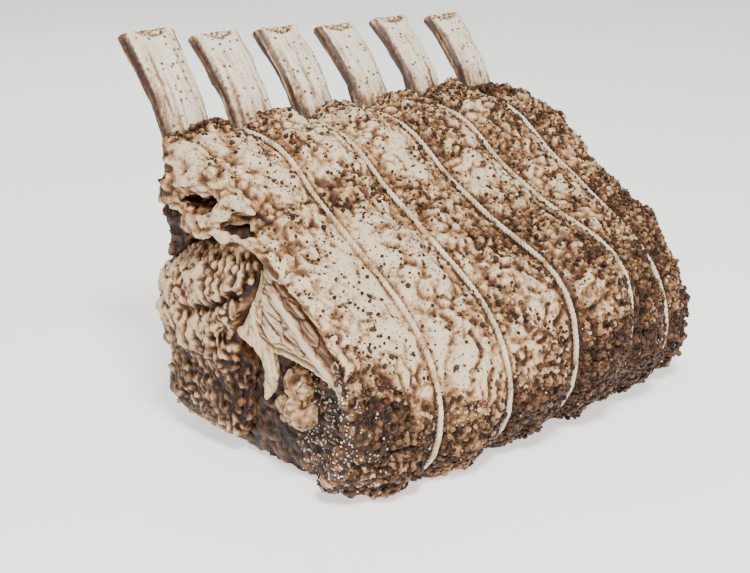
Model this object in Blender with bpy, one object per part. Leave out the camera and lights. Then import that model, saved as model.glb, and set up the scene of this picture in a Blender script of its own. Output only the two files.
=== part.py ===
"""A tied six-rib beef roast, standing with its frenched bones upward.

The frame: X runs along the rack, with the carved end at -X.  The fat side faces -Y, the bone side
faces +Y, and Z is up.  The origin is the bottom centre of the roast's bounding box.
Every size below is in millimetres; the meshes are made in metres.

The meat is a loft of cross-sections along X.  Each cross-section is one outline of the whole roast,
divided by seams into its natural layers, and each layer is its own solid.
"""
import math

import bmesh
import bpy
from mathutils import Vector

MM = 0.001

# --- the rack -------------------------------------------------------------------------------------
RIB_PITCH = 52.0
RIB_COUNT = 6
STRING_COUNT = 5
LEFT_END = -156.0            # the carved face, before each layer bulges or shrinks back from it
RIGHT_END = 167.0            # the tip of the rounded, browned end
BOX_CENTRE = (-0.5, -4.7)    # where the middle of the whole box lies in the outlines below

# --- clearances -----------------------------------------------------------------------------------
GAP = 0.36                   # left between any two neighbouring layers
RIB_GAP = 0.35               # left between a rib and its bed in the meat

# --- string ---------------------------------------------------------------------------------------
STRING_RADIUS = 1.5
STRING_CLEARANCE = 0.45      # between the string and the groove it has pressed
GROOVE_DEPTH = 2.4
BASE_GROOVE_DEPTH = 5.2      # deeper underneath, where the roast has settled over the string
GROOVE_HALF_WIDTH = 5.0

# --- ribs -----------------------------------------------------------------------------------------
RIB_WIDTHS = (35.0, 34.0, 33.0, 31.0, 29.0, 30.0)
RIB_THICKNESSES = (13.0, 13.0, 13.0, 12.5, 12.5, 13.0)
RIB_TOPS = (233.0, 227.0, 225.5, 222.5, 222.5, 219.5)
RIB_LEANS = (4.0, 0.0, -2.0, -4.0, -5.0, -4.0)      # how far each tip leans along X
RIB_FOOT = 16.0              # height of the sawn lower ends
RIB_SIDES = 12
RIB_STEPS = 10
RIB_SQUARENESS = 2.7         # superellipse exponent of the bone's section

# The rib's centre line, seen along X: (y, z) from the sawn foot to the tip of a 227 mm rib.
RIB_LINE = (
    (80.0, 16.0), (73.0, 45.0), (68.5, 75.0), (66.0, 105.0), (66.0, 135.0),
    (68.5, 163.0), (74.0, 180.0), (82.0, 196.0), (93.5, 210.0), (109.5, 227.0),
)

# --- the outline of the meat, seen along X: (y, z) ------------------------------------------------
# Its four arcs meet at the joins below, where one layer ends on the outside and the next begins.
TOP_BACK_JOIN = (60.0, 174.0)
FRONT_JOIN = (-74.0, 0.0)
BASE_JOIN = (3.0, 0.0)
BACK_JOIN = (67.0, 106.0)

CREST_AND_FRONT = (
    TOP_BACK_JOIN, (49.0, 180.0), (29.0, 178.0), (14.0, 173.0), (1.0, 163.0), (-15.0, 149.0),
    (-32.0, 138.0), (-47.0, 127.0), (-63.0, 116.0), (-78.0, 105.0), (-94.0, 89.0), (-105.0, 70.0),
    (-110.0, 49.0), (-108.0, 30.0), (-101.0, 14.0), (-89.0, 3.0), FRONT_JOIN,
)
BASE_FRONT = (FRONT_JOIN, (-50.0, 0.0), (-24.0, 0.0), BASE_JOIN)
BASE_AND_HEEL = (
    BASE_JOIN, (25.0, 0.0), (48.0, 0.0), (64.0, 1.5), (73.0, 10.0), (74.5, 28.0), (72.0, 54.0),
    (69.0, 80.0), BACK_JOIN,
)
BONE_SIDE = (BACK_JOIN, (67.0, 126.0), (67.5, 146.0), (65.5, 162.0), TOP_BACK_JOIN)

FRONT_STEPS = 22             # straight steps along each arc of the outline
BASE_STEPS = 3
HEEL_STEPS = 8
BONE_SIDE_STEPS = 4

# --- the seams inside, seen along X: (y, z) -------------------------------------------------------
CAP_CORNER = (-27.0, 130.0)          # fat cap, back lean, eye, seam and cap muscle meet near here
SEAM_FOOT = (-102.0, 54.0)           # the seam's lower tip, against the fat cap
LEAN_CORNER = (-3.0, 79.0)           # eye, seam and lower lean meet here

FAT_OVER_BACK_LEAN = (
    TOP_BACK_JOIN, (54.0, 163.0), (51.0, 150.0), (43.0, 141.0), (30.0, 137.0), (10.0, 139.0),
    (-8.0, 140.0), (-20.0, 136.0), CAP_CORNER,
)
FAT_OVER_CAP_MUSCLE = (
    CAP_CORNER, (-40.0, 121.5), (-56.0, 111.0), (-71.0, 100.0), (-84.0, 88.0), (-93.0, 76.0),
    (-99.0, 64.0), SEAM_FOOT,
)
FAT_OVER_LOWER_LEAN = (SEAM_FOOT, (-102.0, 38.0), (-95.0, 22.0), (-80.0, 11.0), FRONT_JOIN)
EYE_UNDER_BACK_LEAN = (
    BACK_JOIN, (59.0, 108.0), (47.0, 120.0), (30.0, 128.0), (8.0, 130.5), (-12.0, 131.0), CAP_CORNER,
)
EYE_BY_SEAM = (CAP_CORNER, (-22.0, 112.0), (-11.0, 92.0), LEAN_CORNER)
SEAM_OVER_LOWER_LEAN = (
    LEAN_CORNER, (-14.0, 75.0), (-29.0, 76.0), (-53.0, 75.0), (-74.0, 72.0), (-86.0, 67.5),
    (-95.0, 60.5), SEAM_FOOT,
)
CAP_MUSCLE_BY_SEAM = (
    CAP_CORNER, (-27.0, 113.0), (-19.0, 95.0), (-20.0, 85.0), (-30.0, 81.0), (-53.0, 79.5),
    (-75.0, 76.5), (-87.0, 72.0), (-96.0, 65.0), SEAM_FOOT,
)
EYE_BY_LOWER_LEAN = (LEAN_CORNER, (-6.0, 60.0), (-7.0, 36.0), (-2.0, 14.0), BASE_JOIN)

# --- the lobed nugget of fat on the recessed lean at the carved end -------------------------------
NUGGET_BACK = -148.4                 # its flat back, just clear of the lean
NUGGET_UPPER_CENTRE = (-150.0, -47.0, 61.0)
NUGGET_UPPER_RADII = (8.0, 11.0, 10.5)
NUGGET_LOWER_CENTRE = (-150.0, -46.0, 45.0)
NUGGET_LOWER_RADII = (9.5, 15.0, 10.5)

# --- how the outline changes along X --------------------------------------------------------------
HEIGHT_TAPER = 0.00018       # part of its height lost per mm towards +X
SEAM_SLOPE = 0.026           # how much the seams inside drop per mm towards +X
TAPER_START = -104.0         # where the sizes above hold
FRONT_SWELL = 9.0            # the front stands this much prouder at the middle than at the carved end
SWELL_CENTRE = 25.0
SHOULDER_SWELL = 21.0        # the fuller shoulder between the third and the fourth string
SHOULDER_CENTRE_X = 32.0
SHOULDER_LENGTH = 42.0
SHOULDER_POINT = (-92.0, 92.0)
SHOULDER_REACH = 48.0
FRONT_TUCK = 17.0            # the low front corner at the carved end is rounded off by this much
TUCK_START = -116.0
BULGE = 3.2                  # how far the meat swells between two strings
COLLAR_RISE = 6.0            # the meat climbs this much up each bone
END_CENTRE = (20.0, 82.0)
END_START = 109.0            # the rounding of the right end begins here
END_POWER = 2.2


# ==================================================================================================
# Curves in the section plane
# ==================================================================================================
def smooth_through(points, count):
    """Return count + 1 evenly spaced points on a smooth curve through the given points."""
    fine = []
    last = len(points) - 1
    for i in range(last):
        before = Vector(points[max(i - 1, 0)])
        start = Vector(points[i])
        end = Vector(points[i + 1])
        after = Vector(points[min(i + 2, last)])
        for k in range(12):
            t = k / 12
            fine.append(0.5 * (
                2 * start
                + (end - before) * t
                + (2 * before - 5 * start + 4 * end - after) * t ** 2
                + (3 * start - before - 3 * end + after) * t ** 3
            ))
    fine.append(Vector(points[last]))

    lengths = [0.0]
    for a, b in zip(fine, fine[1:]):
        lengths.append(lengths[-1] + (b - a).length)

    result = []
    index = 0
    for k in range(count + 1):
        wanted = lengths[-1] * k / count
        while index < len(fine) - 2 and lengths[index + 1] < wanted:
            index += 1
        span = lengths[index + 1] - lengths[index]
        result.append(fine[index].lerp(fine[index + 1], (wanted - lengths[index]) / span))
    return result


def signed_area(outline):
    """Return the area of a closed outline, positive when it runs anticlockwise."""
    total = 0.0
    for a, b in zip(outline, outline[1:] + outline[:1]):
        total += a.x * b.y - b.x * a.y
    return total / 2


def inset(outline, depth):
    """Return a closed outline moved inwards by depth, or outwards when depth is negative."""
    turn = 1.0 if signed_area(outline) > 0 else -1.0
    count = len(outline)
    result = []
    for i in range(count):
        arriving = (outline[i] - outline[i - 1]).normalized()
        leaving = (outline[(i + 1) % count] - outline[i]).normalized()
        normal_in = Vector((-arriving.y, arriving.x)) * turn
        normal_out = Vector((-leaving.y, leaving.x)) * turn
        middle = (normal_in + normal_out).normalized()
        stretch = min(1.0 / max(middle.dot(normal_in), 0.2), 1.6)
        result.append(outline[i] + middle * depth * stretch)
    return result


# ==================================================================================================
# The outside of the roast
# ==================================================================================================
def rib_x(index):
    """Return where a rib stands along the rack, the first rib being 0."""
    return (index - (RIB_COUNT - 1) / 2) * RIB_PITCH


def string_x(index):
    """Return where a string is tied, midway between two ribs."""
    return (rib_x(index) + rib_x(index + 1)) / 2


def bell(distance, width):
    """Return a smooth bump, 1 at no distance and fading over the width."""
    return math.exp(-(distance / width) ** 2)


def bulge_at(x):
    """Return 0 beside a string and 1 midway between two, and fall off past the last ones."""
    first = string_x(0)
    last = string_x(STRING_COUNT - 1)
    if x < first:
        return min((first - x) / 30.0, 1.0) * 0.6
    if x > last:
        return min((x - last) / 26.0, 1.0)
    return math.sin(math.pi * ((x - first) % RIB_PITCH) / RIB_PITCH) ** 2


def end_scale(x):
    """Return how much the section has shrunk at x because of the rounded right end."""
    if x <= END_START:
        return 1.0
    part = (x - END_START) / (RIGHT_END + 3.0 - END_START)
    return (1.0 - part ** END_POWER) ** (1.0 / END_POWER)


def round_the_end(point, x):
    """Draw a point towards the end's centre as the right end closes."""
    centre = Vector(END_CENTRE)
    return centre + (point - centre) * end_scale(x)


def tuck(point, x):
    """Return how far the low front corner draws back at x, near the carved end."""
    along = min(max((TUCK_START - x) / 47.0, 0.0), 1.0)
    low = min(max((78.0 - point[1]) / 45.0, 0.0), 1.0)
    front = min(max((-36.0 - point[0]) / 50.0, 0.0), 1.0)
    return FRONT_TUCK * along ** 1.5 * low * front


def outside_point(point, normal, x):
    """Return where a point of the plain outline lies at x."""
    y, z = point
    upper = min(max(z / 30.0, 0.0), 1.0)
    front = min(max((30.0 - y) / 120.0, 0.0), 1.0)

    moved = Vector((y, z * (1.0 - HEIGHT_TAPER * (x - TAPER_START))))
    moved.x -= FRONT_SWELL * front * upper * max(1.0 - ((x - SWELL_CENTRE) / 129.0) ** 2, -0.4)

    to_shoulder = (Vector(point) - Vector(SHOULDER_POINT)).length
    shoulder = bell(x - SHOULDER_CENTRE_X, SHOULDER_LENGTH) * bell(to_shoulder, SHOULDER_REACH)
    moved += Vector((-0.75, 0.66)) * SHOULDER_SWELL * shoulder

    back = bell(max(y - 62.0, 0.0), 12.0) if y < 62.0 else 0.35
    moved += normal * BULGE * bulge_at(x) * upper * back

    nearest_rib = min(abs(x - rib_x(i)) for i in range(RIB_COUNT))
    collar = bell(nearest_rib, 17.0) * bell((Vector(point) - Vector((58.0, 176.0))).length, 18.0)
    moved.x += tuck(point, x)
    moved.y = max(moved.y + COLLAR_RISE * collar, 0.0)
    return moved


def inside_point(point, x):
    """Return where a point of a seam lies at x."""
    lower = SEAM_SLOPE * (x - TAPER_START)
    return round_the_end(Vector((point[0] + tuck(point, x), point[1] - lower)), x)


def groove_depth(point):
    """Return how deep a string has pressed at a point of the outline: deepest underneath."""
    above = min(max((point[1] - 2.0) / 20.0, 0.0), 1.0)
    return BASE_GROOVE_DEPTH + (GROOVE_DEPTH - BASE_GROOVE_DEPTH) * above


def outside(x, in_groove=False):
    """Return the four arcs of the outline at x, each from one join to the next."""
    arcs = (
        smooth_through(CREST_AND_FRONT, FRONT_STEPS),
        smooth_through(BASE_FRONT, BASE_STEPS),
        smooth_through(BASE_AND_HEEL, HEEL_STEPS),
        smooth_through(BONE_SIDE, BONE_SIDE_STEPS),
    )
    ring = []
    for arc in arcs:
        ring.extend(arc[:-1])
    pushed = inset(ring, -1.0)
    shaped = []
    for point, out in zip(ring, pushed):
        shaped.append(outside_point(point, (out - point).normalized(), x))
    if in_groove:
        inwards = inset(shaped, 1.0)
        shaped = [point + (inner - point) * groove_depth(point)
                  for point, inner in zip(shaped, inwards)]
    shaped = [round_the_end(point, x) for point in shaped]

    shaped.append(shaped[0])
    result = []
    start = 0
    for arc in arcs:
        end = start + len(arc) - 1
        result.append(shaped[start:end + 1])
        start = end
    return result


def seam(points, count, first, last, x):
    """Return a seam's points at x, running between two given ends."""
    inner = [inside_point(point, x) for point in smooth_through(points, count)[1:-1]]
    return [first] + inner + [last]


# ==================================================================================================
# Sections of each layer
# ==================================================================================================
def layer_sections(x, in_groove=False):
    """Return the outline of every layer at x, all cut from the one outline of the roast."""
    front, base_front, heel, bone_side = outside(x, in_groove)
    top_join = front[0]
    front_join = front[-1]
    base_join = base_front[-1]
    back_join = heel[-1]
    cap_corner = inside_point(CAP_CORNER, x)
    seam_foot = inside_point(SEAM_FOOT, x)
    lean_corner = inside_point(LEAN_CORNER, x)

    fat_back = seam(FAT_OVER_BACK_LEAN, 9, top_join, cap_corner, x)
    fat_cap = seam(FAT_OVER_CAP_MUSCLE, 8, cap_corner, seam_foot, x)
    fat_low = seam(FAT_OVER_LOWER_LEAN, 5, seam_foot, front_join, x)
    eye_back = seam(EYE_UNDER_BACK_LEAN, 7, back_join, cap_corner, x)
    eye_seam = seam(EYE_BY_SEAM, 4, cap_corner, lean_corner, x)
    seam_low = seam(SEAM_OVER_LOWER_LEAN, 8, lean_corner, seam_foot, x)
    seam_cap = seam(CAP_MUSCLE_BY_SEAM, 11, cap_corner, seam_foot, x)
    eye_low = seam(EYE_BY_LOWER_LEAN, 5, lean_corner, base_join, x)

    def closed(*runs):
        ring = []
        for run in runs:
            ring.extend(run[:-1])
        return ring

    return {
        "fat_cap": closed(front, fat_low[::-1], fat_cap[::-1], fat_back[::-1]),
        "back_lean": closed(bone_side, fat_back, eye_back[::-1]),
        "rib_eye": closed(heel, eye_back, eye_seam, eye_low),
        "seam_fat": closed(eye_seam, seam_low, seam_cap[::-1]),
        "cap_muscle": closed(fat_cap, seam_cap[::-1]),
        "lower_lean": closed(base_front, eye_low[::-1], seam_low, fat_low),
    }


def stations():
    """Return (x, whether a string's groove runs there) for each section between the two ends."""
    result = [(-146.0, False), (rib_x(0), False), (-117.0, False)]
    for i in range(STRING_COUNT):
        x = string_x(i)
        result.append((x - GROOVE_HALF_WIDTH, False))
        result.append((x, True))
        result.append((x + GROOVE_HALF_WIDTH, False))
        if i < STRING_COUNT - 1:
            result.append((x + 15.0, False))
            result.append((x + RIB_PITCH / 2, False))
            result.append((x + RIB_PITCH - 15.0, False))
    for x in (120.0, rib_x(RIB_COUNT - 1), 144.0, 153.0, 160.0, 165.0, RIGHT_END):
        result.append((x, False))
    return result


# How each layer finishes at the carved end: (x, how far its outline has drawn in), outermost first.
CARVED_ENDS = {
    "fat_cap": ((-164.0, 3.2), (-162.0, 1.8), (-157.0, 0.6)),
    "back_lean": ((-150.5, 1.2),),
    "rib_eye": ((-167.0, 30.0), (-165.5, 19.0), (-161.5, 9.0), (-155.0, 2.4)),
    "seam_fat": ((-158.0, 0.7), (-156.5, 0.3)),
    "cap_muscle": ((-159.5, 1.8), (-158.5, 0.9), (-156.0, 0.3)),
    "lower_lean": ((-148.0, 2.5),),
}


# ==================================================================================================
# Blender helpers
# ==================================================================================================
def empty_scene():
    """Remove whatever the scene holds."""
    for old in list(bpy.data.objects):
        bpy.data.objects.remove(old, do_unlink=True)


def new_collection(name):
    """Add a collection to the scene."""
    collection = bpy.data.collections.new(name)
    bpy.context.scene.collection.children.link(collection)
    return collection


def material(name, colour, roughness):
    """Return a Principled material."""
    result = bpy.data.materials.new(name)
    result.use_nodes = True
    shader = result.node_tree.nodes["Principled BSDF"]
    shader.inputs["Base Color"].default_value = (*colour, 1.0)
    shader.inputs["Roughness"].default_value = roughness
    shader.inputs["Metallic"].default_value = 0.0
    result.diffuse_color = (*colour, 1.0)
    return result


def add_object(name, data, collection, finish=None):
    """Link an object that carries the given mesh or curve."""
    result = bpy.data.objects.new(name, data)
    collection.objects.link(result)
    if finish is not None:
        data.materials.append(finish)
    return result


def placed(point):
    """Return a point of the outlines, in millimetres, as metres from the roast's own origin."""
    x, y, z = point
    return Vector((x - BOX_CENTRE[0], y - BOX_CENTRE[1], z - GAP / 2)) * MM


def loft(name, rings, collection, finish=None, sharp_angle=40.0):
    """Skin a closed solid over rings of points in millimetres, each with the same count."""
    shape = bmesh.new()
    verts = []
    for ring in rings:
        verts.append([shape.verts.new(placed(point)) for point in ring])
    count = len(rings[0])
    for row, after in zip(verts, verts[1:]):
        for k in range(count):
            j = (k + 1) % count
            shape.faces.new((row[k], row[j], after[j], after[k]))
    bmesh.ops.triangulate(shape, faces=shape.faces, quad_method="SHORT_EDGE")
    shape.faces.new(verts[0])
    shape.faces.new(verts[-1])
    bmesh.ops.recalc_face_normals(shape, faces=shape.faces)
    mesh = bpy.data.meshes.new(name)
    shape.to_mesh(mesh)
    shape.free()
    mesh.shade_smooth()
    mesh.set_sharp_from_angle(angle=math.radians(sharp_angle))
    return add_object(name, mesh, collection, finish)


def merge_flat_faces(target):
    """Merge the faces that lie in one plane, which the straight seams inside have many of."""
    dissolve = target.modifiers.new("merge flat faces", "DECIMATE")
    dissolve.decimate_type = "DISSOLVE"
    dissolve.angle_limit = math.radians(0.1)


def cut(target, cutter):
    """Cut one object out of another."""
    boolean = target.modifiers.new("bed for " + cutter.name, "BOOLEAN")
    boolean.operation = "DIFFERENCE"
    boolean.solver = "EXACT"
    boolean.object = cutter


# ==================================================================================================
# The pieces
# ==================================================================================================
def make_layer(name, collection, finish):
    """Loft one layer of the meat along the roast."""
    rings = []
    for x, depth in CARVED_ENDS[name]:
        outline = layer_sections(x)[name]
        rings.append((x, inset(outline, GAP / 2 + depth)))
    start = max(x for x, _ in CARVED_ENDS[name])
    for x, in_groove in stations():
        if x > start + 1.0:
            outline = layer_sections(x, in_groove)[name]
            rings.append((x, inset(outline, GAP / 2)))
    points = [[(x, p.x, p.y) for p in outline] for x, outline in rings]
    layer = loft(name, points, collection, finish)
    merge_flat_faces(layer)
    return layer


def make_eye(collection, finish):
    """Loft the eye of the rib, whose carved end bulges as a dome about the muscle's own centre."""
    rings = []
    whole = layer_sections(LEFT_END)["rib_eye"]
    centre = sum(whole, Vector((0.0, 0.0))) / len(whole)
    for x, depth in CARVED_ENDS["rib_eye"]:
        outline = inset(whole, GAP / 2)
        size = sum((p - centre).length for p in outline) / len(outline)
        rings.append((x, [centre + (p - centre) * (1.0 - depth / size) for p in outline]))
    for x, in_groove in stations():
        rings.append((x, inset(layer_sections(x, in_groove)["rib_eye"], GAP / 2)))
    points = [[(x, p.x, p.y) for p in outline] for x, outline in rings]
    eye = loft("rib_eye", points, collection, finish)
    merge_flat_faces(eye)
    return eye


def ellipsoid(name, centre, radii, collection, finish=None):
    """Add a round lobe with the given radii."""
    shape = bmesh.new()
    bmesh.ops.create_uvsphere(shape, u_segments=20, v_segments=12, radius=1.0)
    for vert in shape.verts:
        x, y, z = (centre[axis] + vert.co[axis] * radii[axis] for axis in range(3))
        vert.co = placed((x, y, z))
    mesh = bpy.data.meshes.new(name)
    shape.to_mesh(mesh)
    shape.free()
    mesh.shade_smooth()
    return add_object(name, mesh, collection, finish)


def make_nugget(collection, cutters, finish):
    """Join two lobes, and trim them flat where they lie against the lean."""
    nugget = ellipsoid("fat_nugget", NUGGET_UPPER_CENTRE, NUGGET_UPPER_RADII, collection, finish)
    lower = ellipsoid("nugget_lower_lobe", NUGGET_LOWER_CENTRE, NUGGET_LOWER_RADII, cutters)
    back_mesh = bpy.data.meshes.new("nugget_back")
    shape = bmesh.new()
    bmesh.ops.create_cube(shape, size=1.0)
    for vert in shape.verts:
        x = NUGGET_BACK + 30.0 * (vert.co.x + 0.5)
        vert.co = placed((x, -46.0 + 60.0 * vert.co.y, 53.0 + 60.0 * vert.co.z))
    shape.to_mesh(back_mesh)
    shape.free()
    back = add_object("nugget_back", back_mesh, cutters)
    for cutter in (lower, back):
        cutter.hide_render = True
        cutter.display_type = "WIRE"

    union = nugget.modifiers.new("lower lobe", "BOOLEAN")
    union.operation = "UNION"
    union.solver = "EXACT"
    union.object = lower
    cut(nugget, back)


def rib_rings(index, grow):
    """Return the rings of points along one rib, its section enlarged all round by grow."""
    stretch = (RIB_TOPS[index] - RIB_LINE[5][1]) / (RIB_LINE[-1][1] - RIB_LINE[5][1])
    line = []
    for y, z in RIB_LINE:
        above = max(z - RIB_LINE[5][1], 0.0)
        line.append((y + above * (stretch - 1.0) * 0.6, z + above * (stretch - 1.0)))
    path = smooth_through(line, RIB_STEPS)
    rings = []
    for k, point in enumerate(path):
        before = path[max(k - 1, 0)]
        after = path[min(k + 1, len(path) - 1)]
        along = (after - before).normalized()
        across = Vector((along.y, -along.x))
        share = k / (len(path) - 1)
        flare = 1.0 + 0.10 * max(share - 0.8, 0.0) / 0.2 - 0.16 * max(0.35 - share, 0.0) / 0.35
        half_width = RIB_WIDTHS[index] / 2 * flare + grow
        half_thickness = RIB_THICKNESSES[index] / 2 + grow
        lean = RIB_LEANS[index] * max(share - 0.5, 0.0) / 0.5
        if grow > 0.0 and k == 0:
            point = point - along * grow
        ring = []
        for side in range(RIB_SIDES):
            angle = 2 * math.pi * (side + 0.5) / RIB_SIDES
            c = math.cos(angle)
            s = math.sin(angle)
            wide = math.copysign(abs(c) ** (2 / RIB_SQUARENESS), c) * half_width
            thick = math.copysign(abs(s) ** (2 / RIB_SQUARENESS), s) * half_thickness
            place = point + across * thick
            ring.append((rib_x(index) + lean + wide, place.x, place.y))
        rings.append(ring)
    return rings


def make_string(index, collection, finish):
    """Tie one loop of string in its groove."""
    x = string_x(index)
    arcs = outside(x, in_groove=True)
    ring = []
    for arc in arcs:
        ring.extend(arc[:-1])
    outwards = inset(ring, -1.0)
    route = []
    for point, outer in zip(ring, outwards):
        slope = math.atan2(groove_depth(point), GROOVE_HALF_WIDTH)
        lift = (STRING_RADIUS + STRING_CLEARANCE) / math.cos(slope) - GAP / 2
        route.append(point + (outer - point) * lift)

    curve = bpy.data.curves.new("string_%d" % (index + 1), "CURVE")
    curve.dimensions = "3D"
    curve.bevel_depth = STRING_RADIUS * MM
    curve.bevel_resolution = 2
    spline = curve.splines.new("POLY")
    spline.points.add(len(route) - 1)
    for point, place in zip(spline.points, route):
        point.co = (*placed((x, place.x, place.y)), 1.0)
    spline.use_cyclic_u = True
    spline.use_smooth = True
    return add_object(curve.name, curve, collection, finish)


def main():
    empty_scene()
    roast = new_collection("beef_rib_roast")
    cutters = new_collection("cutters")
    cutters.hide_render = True

    fat = material("roasted fat", (0.62, 0.42, 0.20), 0.45)
    lean = material("browned lean", (0.20, 0.085, 0.04), 0.55)
    eye_meat = material("roasted eye", (0.30, 0.14, 0.07), 0.5)
    cap_meat = material("cap muscle", (0.42, 0.19, 0.11), 0.5)
    seam_finish = material("seam fat", (0.78, 0.62, 0.38), 0.4)
    bone = material("rib bone", (0.80, 0.70, 0.52), 0.55)
    twine = material("butcher's twine", (0.80, 0.72, 0.55), 0.9)

    fat_cap = make_layer("fat_cap", roast, fat)
    back_lean = make_layer("back_lean", roast, lean)
    rib_eye = make_eye(roast, eye_meat)
    make_layer("seam_fat", roast, seam_finish)
    make_layer("cap_muscle", roast, cap_meat)
    make_layer("lower_lean", roast, lean)
    make_nugget(roast, cutters, seam_finish)

    for index in range(RIB_COUNT):
        loft("rib_%d" % (index + 1), rib_rings(index, 0.0), roast, bone)
        bed = loft("rib_bed_%d" % (index + 1), rib_rings(index, RIB_GAP), cutters)
        bed.hide_render = True
        bed.display_type = "WIRE"
        for layer in (fat_cap, back_lean, rib_eye):
            cut(layer, bed)

    for index in range(STRING_COUNT):
        make_string(index, roast, twine)


main()
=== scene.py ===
"""The looks of a tied beef rib roast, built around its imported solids.

The frame: X runs along the rack, with the carved end at -X.  The fat side faces -Y, the bone side
faces +Y, and Z is up.  The meshes are in metres; the sizes and places below are in millimetres,
apart from the stage's, which are in metres.
A line drawn on the carved end is a list of (y, z).
"""

import math

import bmesh
import bpy
import numpy as np
from mathutils import Matrix, Vector, noise
from mathutils.bvhtree import BVHTree


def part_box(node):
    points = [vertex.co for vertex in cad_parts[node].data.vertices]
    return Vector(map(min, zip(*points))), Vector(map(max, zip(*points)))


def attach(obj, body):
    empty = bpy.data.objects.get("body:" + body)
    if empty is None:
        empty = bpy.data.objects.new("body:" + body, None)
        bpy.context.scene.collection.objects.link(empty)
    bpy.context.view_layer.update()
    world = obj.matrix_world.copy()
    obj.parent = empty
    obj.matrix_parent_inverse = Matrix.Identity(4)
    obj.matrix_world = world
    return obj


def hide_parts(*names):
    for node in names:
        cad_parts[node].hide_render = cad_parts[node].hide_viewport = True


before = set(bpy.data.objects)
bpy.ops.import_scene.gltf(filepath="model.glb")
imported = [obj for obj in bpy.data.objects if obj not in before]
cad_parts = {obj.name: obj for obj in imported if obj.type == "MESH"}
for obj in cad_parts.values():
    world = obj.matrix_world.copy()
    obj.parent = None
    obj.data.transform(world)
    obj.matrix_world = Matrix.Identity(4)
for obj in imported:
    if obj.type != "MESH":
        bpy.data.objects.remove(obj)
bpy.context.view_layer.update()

MM = 0.001
RIB_COUNT = 6
STRING_COUNT = 5

# --- the camera -----------------------------------------------------------------------------------
CAMERA_PLACE = (-603.8, -554.8, 352.9)
CAMERA_LOOK = (0.6686, 0.6686, -0.3256)
CAMERA_LENS = 65.0

LINE_STEPS = 8


def bent(start, pull, end):
    """Return a smooth line on the carved end, from a start to an end, bent towards a third place."""
    line = []
    for i in range(LINE_STEPS + 1):
        t = i / LINE_STEPS
        line.append(tuple((1 - t) ** 2 * a + 2 * t * (1 - t) * b + t * t * c
                          for a, b, c in zip(start, pull, end)))
    return line


# --- the curled flap of fat over the carved end ---------------------------------------------------
FLAP_TONGUE = bent((53, 150), (36, 172), (8, 166))
FLAP_LOWER_ROLL = bent((41, 153), (20, 125), (0, 157))
FLAP_HOLLOW = bent((40, 155), (27, 151), (14, 155))
SECOND_HOLE = bent((1, 146), (-9, 149), (-19, 149))
HOLE_LIP = bent((5, 147), (-8, 167), (-29, 153))
HOLE_SILL = bent((10, 138), (-10, 140), (-30, 135))

# Each roll: its line, its place along X and its greatest radius.
FLAP_ROLLS = (
    (FLAP_TONGUE, -163.0, 6.5),
    (FLAP_LOWER_ROLL, -163.5, 5.5),
    (HOLE_LIP, -163.5, 3.4),
    (HOLE_SILL, -162.0, 3.0),
)
# Each lobe: its centre and its radii along X, Y and Z.
FLAP_LOBES = (
    ((-158.0, 33.0, 171.0), (8.0, 11.0, 8.0)),
    ((-160.0, 12.0, 171.0), (7.0, 8.0, 6.0)),
    ((-161.0, -2.0, 161.0), (5.0, 7.0, 5.0)),
    ((-160.0, 44.0, 173.0), (6.0, 6.0, 6.0)),
)
HOLLOW_DEPTH = 17.0
SECOND_HOLE_DEPTH = 18.0
FLAP_ROOT_DEPTH = 13.0       # how far the flap's root, by the first bone, is drawn back

# --- the eye of the rib ---------------------------------------------------------------------------
EYE_MAIN_CREASE = bent((-29, 117), (2, 101), (34, 88))
EYE_LOWER_CREASE = bent((24, 72), (5, 78), (-9, 77))

# --- the fat and the cap muscle beside the eye ----------------------------------------------------
LIGHT_SEAM = bent((-36, 111), (-60, 84), (-92, 70))
FAT_STRAND = bent((1, 84), (-41, 80), (-22, 48))
FAT_STRAND_ROLL = (FAT_STRAND, -156.5, 4.8)
FAT_STRAND_LOBE = ((-156.0, -23.0, 78.0), (5.0, 6.5, 5.0))
STRIP_GRAIN = (0.0, -0.88, -0.47)
LOWER_SEAM_Y = 0.0
NUGGET_PIT = (-44.0, 66.0)

# --- how wide the cells of each node's skin are ---------------------------------------------------
SKIN_CELLS = {
    "fat_cap": 2.9, "rib_eye": 2.2, "cap_muscle": 1.8, "seam_fat": 1.6, "fat_nugget": 1.0,
    "back_lean": 2.4, "lower_lean": 2.6,
}
RIB_SKIN_CELLS = 1.35

# --- how brown the inner layers are at the far end, so that they match the fat there --------------
FAR_END_BROWNING = {
    "rib_eye": 0.46, "cap_muscle": 0.58, "seam_fat": 0.7, "back_lean": 0.26, "lower_lean": 0.24,
}
FAR_END_RANGE = (118.0, 146.0)

# --- how each kind of grain lies: its number, sizes, depth, flatness and random seed --------------
GRAINS = {
    "crust_beads": {"count": 5500, "sizes": (0.8, 2.3), "sink": 0.42, "flatness": 0.85, "seed": 1},
    "crust_crumbs": {"count": 9500, "sizes": (0.5, 1.5), "sink": 0.3, "flatness": 0.8, "seed": 5},
    "cracked_pepper": {"count": 8500, "sizes": (0.4, 1.35), "sink": 0.3, "flatness": 0.7, "seed": 2},
    "peppercorns": {"count": 460, "sizes": (1.4, 2.3), "sink": 0.35, "flatness": 0.95, "seed": 3},
    "salt_flakes": {"count": 1000, "sizes": (0.35, 0.95), "sink": 0.25, "flatness": 0.6, "seed": 4},
}
BEAD = {"segments": 6, "rings": 4, "dents": 0.22}
SHARD = {"segments": 5, "rings": 3, "dents": 0.5}
SHAPES_OF_A_KIND = 4
SHARD_SEED = 10


# ============================================================
# Numbers
# ============================================================
def ramp(values, start, end):
    """Return 0 before the start and 1 past the end, with a smooth rise between."""
    share = np.clip((values - start) / (end - start), 0.0, 1.0)
    return share * share * (3.0 - 2.0 * share)


def bell(distances, width):
    """Return a smooth bump, 1 at no distance."""
    return np.exp(-(distances / width) ** 2)


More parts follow.
